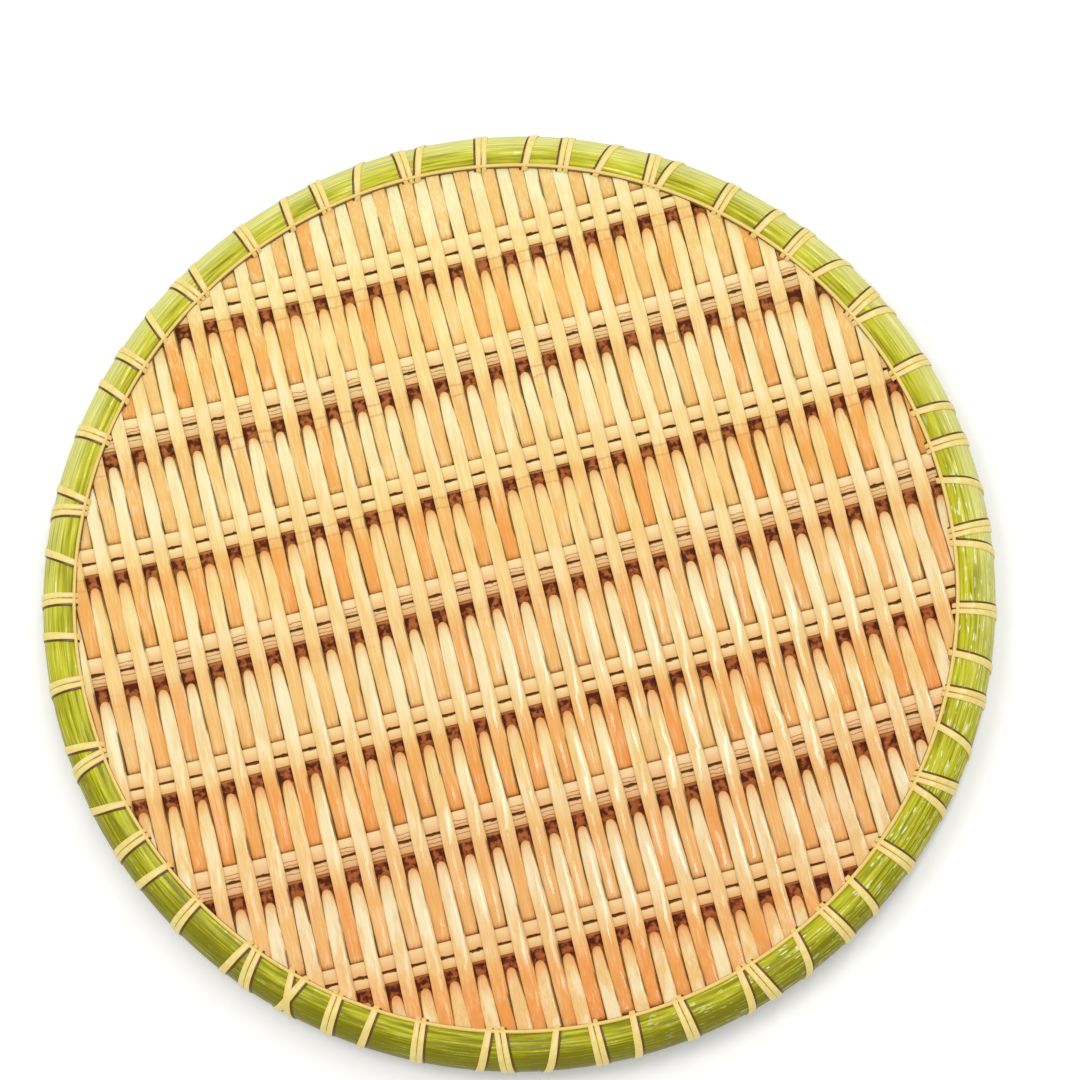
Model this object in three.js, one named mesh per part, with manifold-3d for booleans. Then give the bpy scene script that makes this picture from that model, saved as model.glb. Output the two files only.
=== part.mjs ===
// Round serving tray in glazed moulded plastic, shaped and coloured as a bamboo winnowing tray.
// A shallow dished floor carries 62 upright strips in relief. Seven pairs of cross strips are
// threaded through them in a plain weave, and a green hoop lashed with yellow straps rolls over
// the edge. Millimetres, +Z up, the cross strips run along X, and Z = 0 is the underside of the
// foot ring. Angles along the hoop run clockwise, seen from above.
import * as THREE from "three";
import { mergeVertices } from "three/addons/utils/BufferGeometryUtils.js";
import Module from "manifold-3d";

const wasm = await Module();
wasm.setup();

// Overall sizes
const OUTER_RADIUS = 176.8;
const HOOP_WIDTH = 14.2;
// The hoop is a little narrower on the left, so its opening lies off the middle of the tray.
const OPENING_X = -1;
const OPENING_Y = 0.25;
const SEAT_GAP = 0.3;
const WELD_DISTANCE = 1e-4;

// Foot ring
const FOOT_RADIUS = 101.5;
const FOOT_WIDTH = 6;
const FOOT_HEIGHT = 5;
const FOOT_DRAFT = 1;
const FOOT_SEGMENTS = 40;

// Dished floor, up to the bottom of the grooves between its strips, flat to just outside the foot
const FLOOR_THICKNESS = 3.7;
const FLAT_MARGIN = 3.5;
const DISH_RISE = 8;
const FLANGE_WIDTH = 2.6;
const FLANGE_STEP = 0.3;
const DISH_STEPS = 3;
const RIM_SEGMENTS = 60;

// Upright strips, which pass over one cross band and under the next. A strip is broad where it dives
// under a band and narrow where it comes out again.
const UPRIGHT_PITCH = 5.3;
const UPRIGHT_PHASE = 1.1;
const DIVE_WIDTH = 4.7;
const TONGUE_WIDTH = 3.6;
const UNDER_RISE = 0.5;
const OVER_WIDTH = 5.1;
const OVER_THICKNESS = 0.8;

// Cross bands, each a wide strip above a narrow one, as many as leave this margin to the hoop. Every
// second band is a broad one, which lies a little above its even place.
const BAND_PITCH = 43.1;
const BAND_PHASE = 3.9;
const BAND_MARGIN = 12;
const WIDE_STRIP = 5.2;
const NARROW_STRIP = 3.65;
const BROAD_WIDE_STRIP = 5.9;
const BROAD_NARROW_STRIP = 4.05;
const BROAD_BAND_LIFT = 1.7;
const STRIP_SPACING = 0.85;
const CROSS_THICKNESS = 0.9;
const CROSS_STEP = 3;
const CROSSING_ABOVE = 0.7;
const CROSSING_BELOW = 5;

// Hoop section, with its widths for the mean distance from the opening to the outside
const HOOP_FACE_STEPS = 3;
const HOOP_LINING_STEPS = 2;
const HOOP_EDGE_RISE = 3;
const HOOP_CREST_RISE = 1.4;
const HOOP_SHOULDER = 5.5;
const HOOP_WALL = 3.9;
const HOOP_DROP = 8.7;
const HOOP_SKIRT = 6;
const HOOP_TUCK = 1.2;

// Edge trim and lashings
const TRIM_WIDTH = 1.3;
const BINDING_THICKNESS = 0.6;
const REPEATS = 11;
const BINDING_LEAD = 4;
const FIRST_KNOT_DEGREES = 89.9;
const STRAP = 2.6;
const DOUBLE_STRAP = 4.3;
// Each lashing of one repeat: degrees clockwise from the knot at the opening and at the outside
const LASHINGS = [
  { from: -0.9, to: -1.6, width: DOUBLE_STRAP },
  { from: 0.55, to: 1.9, width: STRAP },
  { from: 9.2, to: 9.2, width: DOUBLE_STRAP },
  { from: 15.1, to: 16.1, width: STRAP },
  { from: 20.2, to: 20.2, width: DOUBLE_STRAP },
  { from: 24.6, to: 26.8, width: STRAP },
];

// Sizes that follow from the ones above
const HOOP_OPENING_RADIUS = OUTER_RADIUS - HOOP_WIDTH;
const FLAT_RADIUS = FOOT_RADIUS + FLAT_MARGIN;
const BANDS_EACH_SIDE = Math.floor((HOOP_OPENING_RADIUS - BAND_MARGIN) / BAND_PITCH);
const BAND_COUNT = 2 * BANDS_EACH_SIDE + 1;
const FLOOR_BOTTOM = FOOT_HEIGHT + SEAT_GAP;
const FLOOR_TOP = FLOOR_BOTTOM + FLOOR_THICKNESS;
const CROSS_RISE = UNDER_RISE + SEAT_GAP;
const BRIDGE_RISE = CROSS_RISE + CROSS_THICKNESS + SEAT_GAP;
const OVER_RISE = BRIDGE_RISE + OVER_THICKNESS;
const FLANGE_TOP = FLOOR_TOP + DISH_RISE - FLANGE_STEP;
const HOOP_EDGE = FLANGE_TOP + HOOP_EDGE_RISE;
const HOOP_CREST = HOOP_EDGE + HOOP_CREST_RISE;
const HOOP_WIDEST = HOOP_CREST - HOOP_DROP;
const FLOOR_EDGE_RADIUS = HOOP_OPENING_RADIUS - SEAT_GAP;

const WEAVE_COLOUR = 0xf6cf8e;
const CROSS_COLOUR = 0xfadca0;
const HOOP_COLOUR = 0xa4b428;
const LASHING_COLOUR = 0xfae684;
const BODY_COLOUR = 0xf3dcae;

function glazedPlastic(colour) {
  return new THREE.MeshStandardMaterial({ color: colour, roughness: 0.18, metalness: 0 });
}

const materials = {
  weave: glazedPlastic(WEAVE_COLOUR),
  cross: glazedPlastic(CROSS_COLOUR),
  hoop: glazedPlastic(HOOP_COLOUR),
  lashing: glazedPlastic(LASHING_COLOUR),
  body: glazedPlastic(BODY_COLOUR),
};

// Height of the groove bottoms between the strips, flat in the middle and rising to the edge.
function dishHeight(x, y) {
  const radius = Math.hypot(x - OPENING_X, y - OPENING_Y);
  const share = (radius - FLAT_RADIUS) / (HOOP_OPENING_RADIUS - FLAT_RADIUS);
  return FLOOR_TOP + DISH_RISE * Math.max(share, 0) ** 2;
}

function solidOf(geometry) {
  const bare = geometry.clone();
  bare.deleteAttribute("normal");
  bare.deleteAttribute("uv");
  const merged = mergeVertices(bare, WELD_DISTANCE);
  return new wasm.Manifold(
    new wasm.Mesh({
      numProp: 3,
      vertProperties: new Float32Array(merged.attributes.position.array),
      triVerts: new Uint32Array(merged.index.array),
    }),
  );
}

function geometryOf(solid) {
  const mesh = solid.getMesh();
  return new THREE.BufferGeometry()
    .setAttribute("position", new THREE.BufferAttribute(mesh.vertProperties, 3))
    .setIndex(new THREE.BufferAttribute(mesh.triVerts, 1));
}

function node(name, geometry, material) {
  geometry.computeVertexNormals();
  const mesh = new THREE.Mesh(geometry, material);
  mesh.name = name;
  return mesh;
}

// A revolved solid about the middle of the hoop's opening, from a profile of radii and heights.
function revolved(profile, segments, x, y) {
  const points = profile.map(([radius, height]) => new THREE.Vector2(radius, height));
  return new THREE.LatheGeometry(points, segments).rotateX(Math.PI / 2).translate(x, y, 0);
}

// A closed solid lofted through sections of equally many points, going round or with two ends.
function lofted(sections, goesRound) {
  const count = sections[0].length;
  const positions = sections.flat().flatMap((point) => point.toArray());
  const index = [];
  const spans = goesRound ? sections.length : sections.length - 1;
  for (let s = 0; s < spans; s++) {
    const here = s * count;
    const next = ((s + 1) % sections.length) * count;
    for (let k = 0; k < count; k++) {
      const after = (k + 1) % count;
      index.push(here + k, here + after, next + after, here + k, next + after, next + k);
    }
  }
  if (!goesRound) {
    const last = (sections.length - 1) * count;
    for (let k = 1; k < count - 1; k++) {
      index.push(0, k + 1, k, last, last + k, last + k + 1);
    }
  }
  return new THREE.BufferGeometry()
    .setAttribute("position", new THREE.Float32BufferAttribute(positions, 3))
    .setIndex(index);
}

// Points on an ellipse's arc from one angle to another in degrees, both ends included.
function arc(centreX, centreY, radiusX, radiusY, from, to, steps) {
  return Array.from({ length: steps + 1 }, (_, k) => {
    const angle = THREE.MathUtils.degToRad(from + ((to - from) * k) / steps);
    return [centreX + radiusX * Math.cos(angle), centreY + radiusY * Math.sin(angle)];
  });
}

// The cross bands from the top of the tray to its bottom, with a row beyond each end.
function bandAt(row) {
  const isBroad = row % 2 !== 0;
  const wide = isBroad ? BROAD_WIDE_STRIP : WIDE_STRIP;
  const narrow = isBroad ? BROAD_NARROW_STRIP : NARROW_STRIP;
  const reach = (wide + STRIP_SPACING + narrow) / 2;
  const even = BAND_PHASE + (BANDS_EACH_SIDE - row) * BAND_PITCH;
  const middle = even + (isBroad ? BROAD_BAND_LIFT : 0);
  return { row, wide, narrow, top: middle + reach, bottom: middle - reach };
}
const bands = Array.from({ length: BAND_COUNT }, (_, row) => bandAt(row));

// Each upright strip goes over the bands whose number is odd or even with its own, and under the others.
function passesOver(upright, row) {
  return (upright + row) % 2 === 0;
}

// The relief of the upright strips over the dish, as one closed block that reaches past the edge.
// Its rows of points lie at both ends of each crossing. A strip that passes over a band bridges it,
// with the band's tunnel open below it from groove to groove.
function uprightRelief() {
  const positions = [];
  const index = [];
  const addPoint = (point) => positions.push(...point.toArray()) / 3 - 1;
  const addFace = (...corners) => {
    for (let k = 2; k < corners.length; k++) index.push(corners[0], corners[k - 1], corners[k]);
  };
  const first = Math.floor((OPENING_X - HOOP_OPENING_RADIUS - UPRIGHT_PHASE) / UPRIGHT_PITCH);
  const last = Math.ceil((OPENING_X + HOOP_OPENING_RADIUS - UPRIGHT_PHASE) / UPRIGHT_PITCH);
  const bridgeShare = BRIDGE_RISE / OVER_RISE;

  const groovePoint = (x, y) => addPoint(new THREE.Vector3(x, y, dishHeight(x, y)));
  const stationAt = (row, y, underWidth) => {
    const strips = [];
    for (let upright = first; upright <= last; upright++) {
      const x = UPRIGHT_PHASE + upright * UPRIGHT_PITCH;
      const over = passesOver(upright, row);
      const reach = (over ? OVER_WIDTH : underWidth) / 2;
      const rise = over ? OVER_RISE : UNDER_RISE;
      const corner = (side, share) => {
        const groove = x + (side * UPRIGHT_PITCH) / 2;
        const edge = x + side * reach;
        const across = THREE.MathUtils.lerp(groove, edge, share);
        return addPoint(new THREE.Vector3(across, y, dishHeight(across, y) + rise * share));
      };
      const strip = { over, groove: groovePoint(x - UPRIGHT_PITCH / 2, y) };
      if (over) {
        strip.lowLeft = corner(-1, bridgeShare);
        strip.lowRight = corner(1, bridgeShare);
      }
      strip.left = corner(-1, 1);
      strip.right = corner(1, 1);
      strips.push(strip);
    }
    const end = UPRIGHT_PHASE + (last + 0.5) * UPRIGHT_PITCH;
    return { strips, end: groovePoint(end, y) };
  };
  const stations = [];
  for (let row = -1; row <= BAND_COUNT; row++) {
    const band = bandAt(row);
    stations.push(stationAt(row, band.top + CROSSING_ABOVE, DIVE_WIDTH));
    stations.push(stationAt(row, band.bottom - CROSSING_BELOW, TONGUE_WIDTH));
  }
  const grooveAfter = (station, k) => station.strips[k + 1]?.groove ?? station.end;
  const walk = (...corners) => corners.filter((corner) => corner !== undefined);

  for (let s = 0; s < stations.length - 1; s++) {
    const isCrossing = s % 2 === 0;
    stations[s].strips.forEach((here, k) => {
      const below = stations[s + 1].strips[k];
      const hereGroove = grooveAfter(stations[s], k);
      const belowGroove = grooveAfter(stations[s + 1], k);
      addFace(here.left, below.left, below.right, here.right);
      if (!(isCrossing && here.over)) {
        addFace(...walk(here.groove, below.groove, below.lowLeft, below.left, here.left, here.lowLeft));
        addFace(...walk(hereGroove, here.lowRight, here.right, below.right, below.lowRight, belowGroove));
        return;
      }
      addFace(here.lowLeft, below.lowLeft, below.left, here.left);
      addFace(here.right, below.right, below.lowRight, here.lowRight);
      addFace(here.lowRight, below.lowRight, below.lowLeft, here.lowLeft);
      addFace(here.groove, below.groove, belowGroove, hereGroove);
      addFace(here.groove, hereGroove, here.lowRight, here.lowLeft);
      addFace(below.groove, below.lowLeft, below.lowRight, belowGroove);
    });
  }

  // The sides and the flat underside, walked from the top left corner round the block.
  const edgeOf = (station) =>
    station.strips.flatMap(({ groove, lowLeft, left, right, lowRight }) =>
      walk(groove, lowLeft, left, right, lowRight),
    );
  const top = stations[0];
  const bottom = stations[stations.length - 1];
  const rim = [
    ...stations.map((station) => station.strips[0].groove),
    ...edgeOf(bottom).slice(1),
    ...stations.map((station) => station.end).reverse(),
    ...edgeOf(top).slice(1).reverse(),
  ];
  const skirt = rim.map((corner) =>
    addPoint(new THREE.Vector3(positions[3 * corner], positions[3 * corner + 1], 0)),
  );
  const middle = addPoint(new THREE.Vector3(0, 0, 0));
  rim.forEach((corner, k) => {
    const after = (k + 1) % rim.length;
    addFace(corner, skirt[k], skirt[after], rim[after]);
    addFace(middle, skirt[after], skirt[k]);
  });
  return new THREE.BufferGeometry()
    .setAttribute("position", new THREE.Float32BufferAttribute(positions, 3))
    .setIndex(index);
}

// The floor's plan and thickness: a dished disc, open above, with a flange for the hoop to sit on.
function floorEnvelope() {
  const rise = (radius) => dishHeight(OPENING_X + radius, OPENING_Y) - FLOOR_THICKNESS;
  const flangeRadius = HOOP_OPENING_RADIUS + FLANGE_WIDTH;
  const underside = Array.from({ length: DISH_STEPS + 1 }, (_, k) => {
    const radius = FLAT_RADIUS + ((flangeRadius - FLAT_RADIUS) * k) / DISH_STEPS;
    return [radius, rise(Math.min(radius, HOOP_OPENING_RADIUS))];
  });
  return revolved(
    [
      [0, FLOOR_BOTTOM],
      ...underside,
      [flangeRadius, FLANGE_TOP],
      [FLOOR_EDGE_RADIUS, FLANGE_TOP],
      [FLOOR_EDGE_RADIUS, HOOP_CREST],
      [0, HOOP_CREST],
    ],
    RIM_SEGMENTS,
    OPENING_X,
    OPENING_Y,
  );
}

// A bar along X between two heights above the dish, turned with it, that reaches past the edge.
function crossBar(top, bottom, lower, upper) {
  const step = CROSS_STEP * UPRIGHT_PITCH;
  const count = Math.ceil((HOOP_OPENING_RADIUS - OPENING_X) / step) + 1;
  const stations = [];
  for (let k = -count; k <= count; k++) stations.push(UPRIGHT_PHASE + k * step);
  const isFlat = (x) => Math.max(dishHeight(x, top), dishHeight(x, bottom)) === FLOOR_TOP;
  const bent = stations.filter((x) => !(isFlat(x - step) && isFlat(x) && isFlat(x + step)));
  const sections = bent.map((x) => [
    new THREE.Vector3(x, bottom, dishHeight(x, bottom) + lower),
    new THREE.Vector3(x, top, dishHeight(x, top) + lower),
    new THREE.Vector3(x, top, dishHeight(x, top) + upper),
    new THREE.Vector3(x, bottom, dishHeight(x, bottom) + upper),
  ]);
  return lofted(sections, false);
}

function wovenFloor() {
  const solid = solidOf(floorEnvelope()).intersect(solidOf(uprightRelief()));
  return node("woven_floor", geometryOf(solid), materials.weave);
}

function crossStrips() {
  const inside = solidOf(
    revolved(
      [
        [0, 0],
        [FLOOR_EDGE_RADIUS, 0],
        [FLOOR_EDGE_RADIUS, HOOP_CREST],
        [0, HOOP_CREST],
      ],
      RIM_SEGMENTS,
      OPENING_X,
      OPENING_Y,
    ),
  );
  const strip = (name, top, bottom) => {
    const bar = crossBar(top, bottom, CROSS_RISE, CROSS_RISE + CROSS_THICKNESS);
    return node(name, geometryOf(solidOf(bar).intersect(inside)), materials.cross);
  };
  return bands.flatMap((band) => [
    strip(`cross_strip_${band.row + 1}_wide`, band.top, band.top - band.wide),
    strip(`cross_strip_${band.row + 1}_narrow`, band.bottom + band.narrow, band.bottom),
  ]);
}

function footRing() {
  const inner = FOOT_RADIUS - FOOT_WIDTH;
  const ring = revolved(
    [
      [inner + FOOT_DRAFT, 0],
      [FOOT_RADIUS - FOOT_DRAFT, 0],
      [FOOT_RADIUS, FOOT_HEIGHT],
      [inner, FOOT_HEIGHT],
      [inner + FOOT_DRAFT, 0],
    ],
    FOOT_SEGMENTS,
    0,
    0,
  );
  return node("foot_ring", geometryOf(solidOf(ring)), materials.body);
}

// The hoop's outer face as distances from the opening and heights, from its inner edge over the
// crest and the widest place to the bottom of the skirt.
const hoopFace = [
  [0, HOOP_EDGE],
  ...arc(HOOP_SHOULDER, HOOP_WIDEST, HOOP_WIDTH - HOOP_SHOULDER, HOOP_DROP, 90, 0, HOOP_FACE_STEPS),
  [HOOP_WIDTH - HOOP_TUCK, HOOP_WIDEST - HOOP_SKIRT],
];

// A point of the hoop, at an angle in degrees and a distance from the opening towards the outside.
function hoopPoint(degrees, distance, height) {
  const angle = THREE.MathUtils.degToRad(degrees);
  const share = distance / HOOP_WIDTH;
  const radius = THREE.MathUtils.lerp(HOOP_OPENING_RADIUS, OUTER_RADIUS, share);
  return new THREE.Vector3(
    OPENING_X * (1 - share) + radius * Math.cos(angle),
    OPENING_Y * (1 - share) + radius * Math.sin(angle),
    height,
  );
}

function rimHoop() {
  const wallX = HOOP_WIDTH - HOOP_WALL;
  const seat = FLANGE_TOP + SEAT_GAP;
  const section = [
    ...hoopFace,
    [wallX, HOOP_WIDEST - HOOP_SKIRT],
    ...arc(HOOP_SHOULDER, HOOP_WIDEST, wallX - HOOP_SHOULDER, seat - HOOP_WIDEST, 0, 90, HOOP_LINING_STEPS),
    [0, seat],
  ];
  const sections = Array.from({ length: RIM_SEGMENTS }, (_, k) => {
    const degrees = (360 * k) / RIM_SEGMENTS;
    return section.map(([distance, height]) => hoopPoint(degrees, distance, height));
  });
  return node("rim_hoop", lofted(sections, true), materials.hoop);
}

// The hoop's outer face moved outwards by a distance, square to itself.
function faceAbove(lift) {
  return hoopFace.map(([distance, height], k) => {
    const [x0, y0] = hoopFace[Math.max(k - 1, 0)];
    const [x1, y1] = hoopFace[Math.min(k + 1, hoopFace.length - 1)];
    const length = Math.hypot(x1 - x0, y1 - y0);
    return [distance - ((y1 - y0) / length) * lift, height + ((x1 - x0) / length) * lift];
  });
}

// The trim and lashings of one repeat in one piece. The trim runs along the hoop's inner edge from
// just before the repeat's knot to just before the next, and each lashing grows out of its outer side.
function rimBinding(name, knot) {
  const under = faceAbove(SEAT_GAP);
  const over = faceAbove(SEAT_GAP + BINDING_THICKNESS);
  const trimShare = TRIM_WIDTH / HOOP_SHOULDER;
  const trimOuter = (line) => [
    THREE.MathUtils.lerp(line[0][0], line[1][0], trimShare),
    THREE.MathUtils.lerp(line[0][1], line[1][1], trimShare),
  ];
  const positions = [];
  const index = [];
  const addPoint = (point) => positions.push(...point.toArray()) / 3 - 1;
  const addFace = (a, b, c, d) => index.push(a, b, c, a, c, d);
  const trimSection = (offset) => {
    const at = ([distance, height]) => addPoint(hoopPoint(knot - offset, distance, height));
    return [at([0, under[0][1]]), at(trimOuter(under)), at(trimOuter(over)), at([0, over[0][1]])];
  };
  const reachOf = (width) => THREE.MathUtils.radToDeg(width / 2 / OUTER_RADIUS);

  const joint = THREE.MathUtils.radToDeg(SEAT_GAP / HOOP_OPENING_RADIUS);
  const sides = LASHINGS.flatMap(({ from, width }) => [from - reachOf(width), from + reachOf(width)]);
  const sections = [-BINDING_LEAD, ...sides, 360 / REPEATS - BINDING_LEAD - joint].map(trimSection);
  const [start, end] = [sections[0], sections[sections.length - 1]];
  addFace(start[0], start[3], start[2], start[1]);
  addFace(end[0], end[1], end[2], end[3]);
  for (let s = 0; s < sections.length - 1; s++) {
    const [here, next] = [sections[s], sections[s + 1]];
    addFace(here[0], here[1], next[1], next[0]);
    addFace(here[2], here[3], next[3], next[2]);
    addFace(here[3], here[0], next[0], next[3]);
    if (s % 2 === 0) addFace(here[1], here[2], next[2], next[1]);
  }
  LASHINGS.forEach(({ from, to, width }, k) => {
    const reach = reachOf(width);
    const [here, next] = [sections[2 * k + 1], sections[2 * k + 2]];
    let before = [here[1], here[2], next[2], next[1]];
    for (let step = 1; step < under.length; step++) {
      const middle = THREE.MathUtils.lerp(from, to, step / (under.length - 1));
      const at = (offset, [distance, height]) => addPoint(hoopPoint(knot - offset, distance, height));
      const after = [
        at(middle - reach, under[step]),
        at(middle - reach, over[step]),
        at(middle + reach, over[step]),
        at(middle + reach, under[step]),
      ];
      for (let side = 0; side < 4; side++) {
        const following = (side + 1) % 4;
        addFace(before[side], before[following], after[following], after[side]);
      }
      before = after;
    }
    addFace(...before);
  });
  const geometry = new THREE.BufferGeometry()
    .setAttribute("position", new THREE.Float32BufferAttribute(positions, 3))
    .setIndex(index);
  return node(name, geometry, materials.lashing);
}

function rimBindings() {
  return Array.from({ length: REPEATS }, (_, k) => {
    const name = `rim_binding_${String(k + 1).padStart(2, "0")}`;
    return rimBinding(name, FIRST_KNOT_DEGREES - (k * 360) / REPEATS);
  });
}

const tray = new THREE.Group();
tray.name = "round_serving_tray";
tray.add(wovenFloor(), footRing(), ...crossStrips(), rimHoop(), ...rimBindings());

export default tray;
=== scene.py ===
"""Round serving tray of glazed plastic, moulded and coloured as a lashed bamboo winnowing tray."""

import contextlib
import functools
import math
import random

import bmesh
import bpy
import numpy as np
from mathutils import Matrix, Vector


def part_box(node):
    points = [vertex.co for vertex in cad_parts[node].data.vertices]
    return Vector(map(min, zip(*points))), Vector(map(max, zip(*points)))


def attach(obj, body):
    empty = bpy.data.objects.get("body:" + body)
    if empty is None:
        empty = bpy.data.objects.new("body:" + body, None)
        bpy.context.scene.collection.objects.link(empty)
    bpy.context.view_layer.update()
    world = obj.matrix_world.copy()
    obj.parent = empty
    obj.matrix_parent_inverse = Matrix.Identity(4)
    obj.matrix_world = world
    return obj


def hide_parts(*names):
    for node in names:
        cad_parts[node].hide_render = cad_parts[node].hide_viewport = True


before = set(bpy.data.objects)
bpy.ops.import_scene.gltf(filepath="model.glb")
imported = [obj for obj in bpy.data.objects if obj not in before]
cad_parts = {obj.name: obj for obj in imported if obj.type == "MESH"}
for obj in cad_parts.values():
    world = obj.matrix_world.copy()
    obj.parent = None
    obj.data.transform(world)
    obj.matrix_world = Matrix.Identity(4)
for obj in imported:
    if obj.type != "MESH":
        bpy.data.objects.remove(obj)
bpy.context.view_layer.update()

bl_info = {
    "name": "Round Woven Tray",
    "version": (1, 1, 0),
    "blender": (4, 5, 0),
    "location": "View3D > Sidebar > Tray",
    "description": "Models a round moulded tray with a woven floor and a lashed green hoop",
    "category": "Add Mesh",
}

MM = 0.001
SEED = 7

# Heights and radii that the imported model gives
FOOT_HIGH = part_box("foot_ring")[1]
FLOOR_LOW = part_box("woven_floor")[0]
HOOP_LOW, HOOP_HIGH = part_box("rim_hoop")
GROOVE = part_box("cross_strip_4_wide")[0].z - 0.8 * MM
CREST = HOOP_HIGH.z
WIDEST = CREST - 8.7 * MM
HOOP_EDGE = CREST - 1.4 * MM
SKIRT_LOW = HOOP_LOW.z

# How far the strips' ends lie inside the opening, and how far other neighbours stay apart
INSET = 0.45 * MM
CLEARANCE = 0.3 * MM

# The weave repeats after two bands, in millimetres, and its bands are numbered from the photo's top
REPEAT = 86.2
BANDS = 7
MIDDLE_BAND = BANDS // 2

# How many repeats an upright strip and a cross strip are made of before they are cut to length
UPRIGHT_REPEATS = 6
CROSS_REPEATS = 34

# The end of an upright strip that comes out from below a band: distance along, height of its top
# over the grooves, and width, in millimetres
TONGUE = (
    (0, 0.75, 1.2), (0.3, 0.9, 2.2), (0.8, 1.02, 3.0), (1.5, 1.12, 3.5), (2.7, 1.22, 3.95),
    (4.6, 1.34, 4.35), (7.5, 1.5, 4.75), (11, 1.68, 5.05), (17, 2.0, 5.22), (24, 2.35, 5.3),
)
# Where the tip of a tongue lies on the even strips and on the odd ones, and how wide a strip is in
# full and where it is hidden
TIPS = (9.2, 9.6)
FULL_WIDTH = 5.3
HIDDEN_WIDTH = 1.4

# Heights over the grooves: of a strip's top and underside where it is hidden, of the foot of its
# walls, and of its underside where it bridges a band
BURIED = -0.7
BURIED_FOOT = -1.0
WALL_FOOT = -0.6
BRIDGE_UNDERSIDE = 1.95

# The painted bed below each band, which the tongue lies on: distance along, counted from the tongue's
# tip, and height of its top over the grooves
BED = (
    (-16, BURIED), (-12.6, 0.5), (-8, 0.55), (-4, 0.75), (-2.5, 0.85), (0.2, 0.85), (2, 0.78),
    (5, 0.85), (9, 1.0), (14, 1.15), (20, 1.2), (25, 0.8), (29, BURIED),
)

# One repeat of a cross strip, from one upright that lies over it to the next such upright, is this
# half and its mirror image: distance along and height of its top over the grooves
CROSS_HALF = ((0, 1.45), (1.9, 1.48), (2.7, 1.6), (3.7, 1.7), (4.5, 1.74), (5.3, 1.75))

# Points of the hoop and of the straps inside the hoop's crest: distance from the opening, and height
# over the hoop's inner edge, in millimetres
HOOP_INSIDE = ((0.3, -0.3), (0.9, 0.2), (2.6, 0.75))
STRAP_INSIDE = ((-1.5, -1.1), (-1.0, -0.1), (-0.2, 0.75), (0.8, 1.15), (2.2, 1.4))

# The hoop's fine ribs: points over its face, points from one rib to the next, and depth
RIB_POINTS = 72
RIB_SPACING = 4.6
RIB_DEPTH = 0.1 * MM

# The lashings of one repeat: degrees clockwise from the knot at the inner and the outer edge, and
# the number of straps side by side
REPEATS = 11
FIRST_KNOT = 89.9
LASHINGS = (
    (-0.7, -1.85, 2), (0.42, 2.3, 1), (9.2, 9.2, 2), (15.0, 16.3, 1), (20.2, 20.2, 2),
    (24.6, 27.3, 1),
)
# One slanted lashing has a second strap crossed over it: its repeat and its degrees
CROSSED_REPEAT = 6
CROSSED = (26.9, 24.4, 1)
# The two straps of a double lashing are narrower than a single one by this factor, with a gap between
DOUBLE_SCALE = 0.78
DOUBLE_GAP = 0.18 * MM
# How far the dark line along a lashing lies beside it and below it
LINE_BESIDE = 0.3 * MM
LINE_BELOW = 0.35 * MM

# The photo's camera: its place, its turn in degrees, its focal length and the photo's width in
# pixels, and the width of its sensor in millimetres
CAMERA_PLACE = (-0.02136, -0.19998, 0.99053)
CAMERA_TURN = (12.5127, 1.1209, -13.9099)
FOCAL_PIXELS = 2687
PHOTO_PIXELS = 1080
SENSOR = 36

# The lamps: name, sides, power and place
LAMPS = (
    ("key", (0.17, 1.3), 7.0, (0.3, 0.35, 1.46)),
    ("fill", (0.5, 0.5), 5.0, (-0.6, 0.3, 1.5)),
)


def srgb(red, green, blue):
    """A colour in Blender's linear values from the usual 0 to 255."""
    values = [c / 255 for c in (red, green, blue)]
    return tuple(c / 12.92 if c <= 0.04045 else ((c + 0.055) / 1.055) ** 2.4 for c in values)


# Colours along one repeat of an upright strip, from the middle of the band that it dives under:
# distance in millimetres and colour. Even strips dive under the broad bands, odd ones under the others.
# The last stops darken a strip where it dives under the next band, as painted shade
EVEN_COLOURS = (
    (9, (214, 158, 92)), (9.9, (240, 196, 128)), (12, (252, 232, 174)), (16, (253, 250, 196)),
    (21, (253, 249, 198)), (34, (253, 242, 182)), (38, (253, 235, 167)), (47.8, (252, 230, 158)),
    (51, (250, 212, 134)), (57, (250, 203, 122)), (65, (250, 194, 109)), (77.5, (249, 191, 107)),
    (78.8, (226, 160, 88)),
)
ODD_COLOURS = (
    (9.4, (206, 148, 84)), (10.4, (236, 186, 116)), (12.3, (252, 214, 148)),
    (16, (252, 232, 160)), (21, (252, 236, 164)), (34, (253, 233, 160)), (38, (253, 233, 164)),
    (46.8, (253, 231, 161)), (51, (251, 218, 146)), (57, (249, 209, 134)), (65, (251, 214, 136)),
    (79.5, (250, 211, 133)), (81, (228, 170, 98)),
)
# Colours of the painted ground along the same repeat
GROUND_COLOURS = (
    (0, (104, 60, 18)), (3.4, (200, 140, 78)), (5.1, (200, 140, 78)), (5.9, (172, 102, 58)),
    (6.8, (170, 96, 50)), (8.2, (184, 112, 58)), (9.6, (164, 96, 44)), (14, (168, 116, 60)),
    (20, (158, 122, 68)), (70, (158, 122, 68)), (78, (130, 92, 40)), (81, (136, 96, 34)),
)

# Parts of the repeat with a look of their own, in millimetres: where each starts, is whole, begins to
# fade and ends
HOLLOW = (5.2, 6.0, 9.5, 14)
RISING = (13, 22, 38, 47)
RISE_SHINES = (18, 26, 50, 57)
FALLING = (50, 58, 78.2, 79.5)

# The thin lines drawn on the broad bands: how far low and high ones lie above the dark dash, in
# millimetres, and where along X they take turns
THIN_LINES = ((-1.8, -3.4), (2.8, 1.4, -2.0))
THIN_LINES_START = -206.6 * MM
THIN_LINES_PERIOD = 21.2 * MM


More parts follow.
